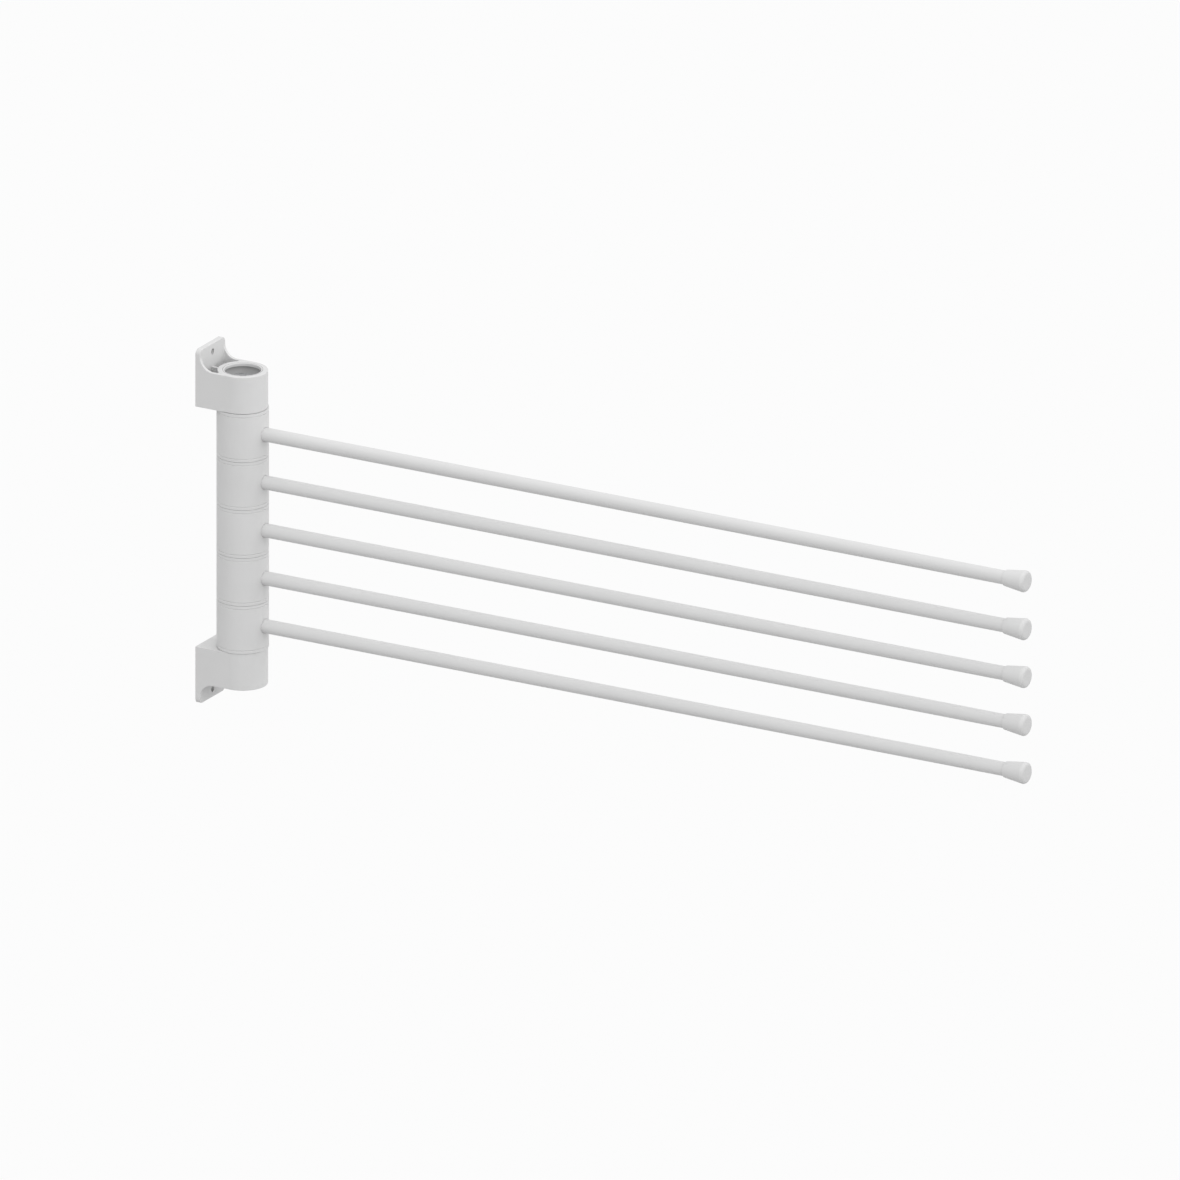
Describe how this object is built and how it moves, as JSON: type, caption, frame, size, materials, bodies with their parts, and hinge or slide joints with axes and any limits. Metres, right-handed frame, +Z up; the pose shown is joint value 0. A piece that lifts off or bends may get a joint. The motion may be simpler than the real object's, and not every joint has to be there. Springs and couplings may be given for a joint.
{
  "type": "swing arm towel bar",
  "caption": "Wall-mounted towel bar: straight round rods with flared caps swing sideways on stacked hubs, around one upright pivot held between screw-on wall brackets.",
  "frame": {"origin": "on the wall face, midway between the two wall screws", "axes": "+X out of the wall along the rods at rest, +Z up along the pivot, +Y completes the right-handed frame"},
  "size_m": [0.5286, 0.0294, 0.2098],
  "materials": {
    "bracket_plastic": "light grey moulded plastic, satin",
    "hub_plastic": "light grey moulded plastic, satin",
    "bush_plastic": "light grey low-friction plastic, satin",
    "cap_plastic": "light grey moulded plastic, satin",
    "rod_coating": "light grey powder coat on steel tube",
    "plated_steel": "bright zinc-plated steel"
  },
  "bodies": {
    "wall_mount": {"upper_bracket": "bracket_plastic", "lower_bracket": "bracket_plastic", "pivot_bolt": "plated_steel", "pivot_sleeve": "plated_steel", "head_washer": "plated_steel", "nut_washer": "plated_steel", "pivot_nut": "plated_steel"},
    "arm_1": {"hub_1": "hub_plastic", "upper_bush_1": "bush_plastic", "lower_bush_1": "bush_plastic", "rod_1": "rod_coating", "rod_pin_1": "plated_steel", "end_cap_1": "cap_plastic"},
    "arm_2": {"hub_2": "hub_plastic", "upper_bush_2": "bush_plastic", "lower_bush_2": "bush_plastic", "rod_2": "rod_coating", "rod_pin_2": "plated_steel", "end_cap_2": "cap_plastic"},
    "arm_3": {"hub_3": "hub_plastic", "upper_bush_3": "bush_plastic", "lower_bush_3": "bush_plastic", "rod_3": "rod_coating", "rod_pin_3": "plated_steel", "end_cap_3": "cap_plastic"},
    "arm_4": {"hub_4": "hub_plastic", "upper_bush_4": "bush_plastic", "lower_bush_4": "bush_plastic", "rod_4": "rod_coating", "rod_pin_4": "plated_steel", "end_cap_4": "cap_plastic"},
    "arm_5": {"hub_5": "hub_plastic", "upper_bush_5": "bush_plastic", "lower_bush_5": "bush_plastic", "rod_5": "rod_coating", "rod_pin_5": "plated_steel", "end_cap_5": "cap_plastic"}
  },
  "joints": [
    {"name": "arm_1_swing", "type": "hinge", "parent": "wall_mount", "child": "arm_1", "pos_m": [0.0224, 0, 0.0568], "axis": [0, 0, 1], "range_deg": [-90, 90]},
    {"name": "arm_2_swing", "type": "hinge", "parent": "wall_mount", "child": "arm_2", "pos_m": [0.0224, 0, 0.0284], "axis": [0, 0, 1], "range_deg": [-90, 90]},
    {"name": "arm_3_swing", "type": "hinge", "parent": "wall_mount", "child": "arm_3", "pos_m": [0.0224, 0, 0], "axis": [0, 0, 1], "range_deg": [-90, 90]},
    {"name": "arm_4_swing", "type": "hinge", "parent": "wall_mount", "child": "arm_4", "pos_m": [0.0224, 0, -0.0284], "axis": [0, 0, 1], "range_deg": [-90, 90]},
    {"name": "arm_5_swing", "type": "hinge", "parent": "wall_mount", "child": "arm_5", "pos_m": [0.0224, 0, -0.0568], "axis": [0, 0, 1], "range_deg": [-90, 90]}
  ]
}
